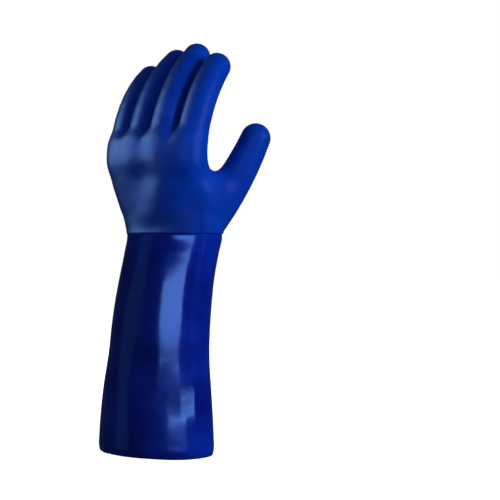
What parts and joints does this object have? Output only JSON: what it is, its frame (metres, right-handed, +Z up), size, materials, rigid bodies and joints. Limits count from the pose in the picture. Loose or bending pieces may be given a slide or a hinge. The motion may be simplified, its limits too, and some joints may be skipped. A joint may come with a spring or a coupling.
{
  "type": "pvc coated work glove",
  "caption": "Long blue PVC coated gauntlet glove for the left hand, with a matte sandy hand and a smooth glossy cuff, standing on its rim.",
  "frame": {"origin": "under the middle of the glove's box, on the surface that the rim of its cuff stands on", "axes": "+Z up along the glove to the fingertips, +X to the thumb side, +Y to the palm side"},
  "size_m": [0.1516, 0.1152, 0.3973],
  "materials": {
    "hand_coat": "matte sandy PVC",
    "cuff_coat": "smooth glossy PVC"
  },
  "bodies": {
    "root": {"coated_hand": "hand_coat", "gauntlet_cuff": "cuff_coat"}
  },
  "joints": []
}
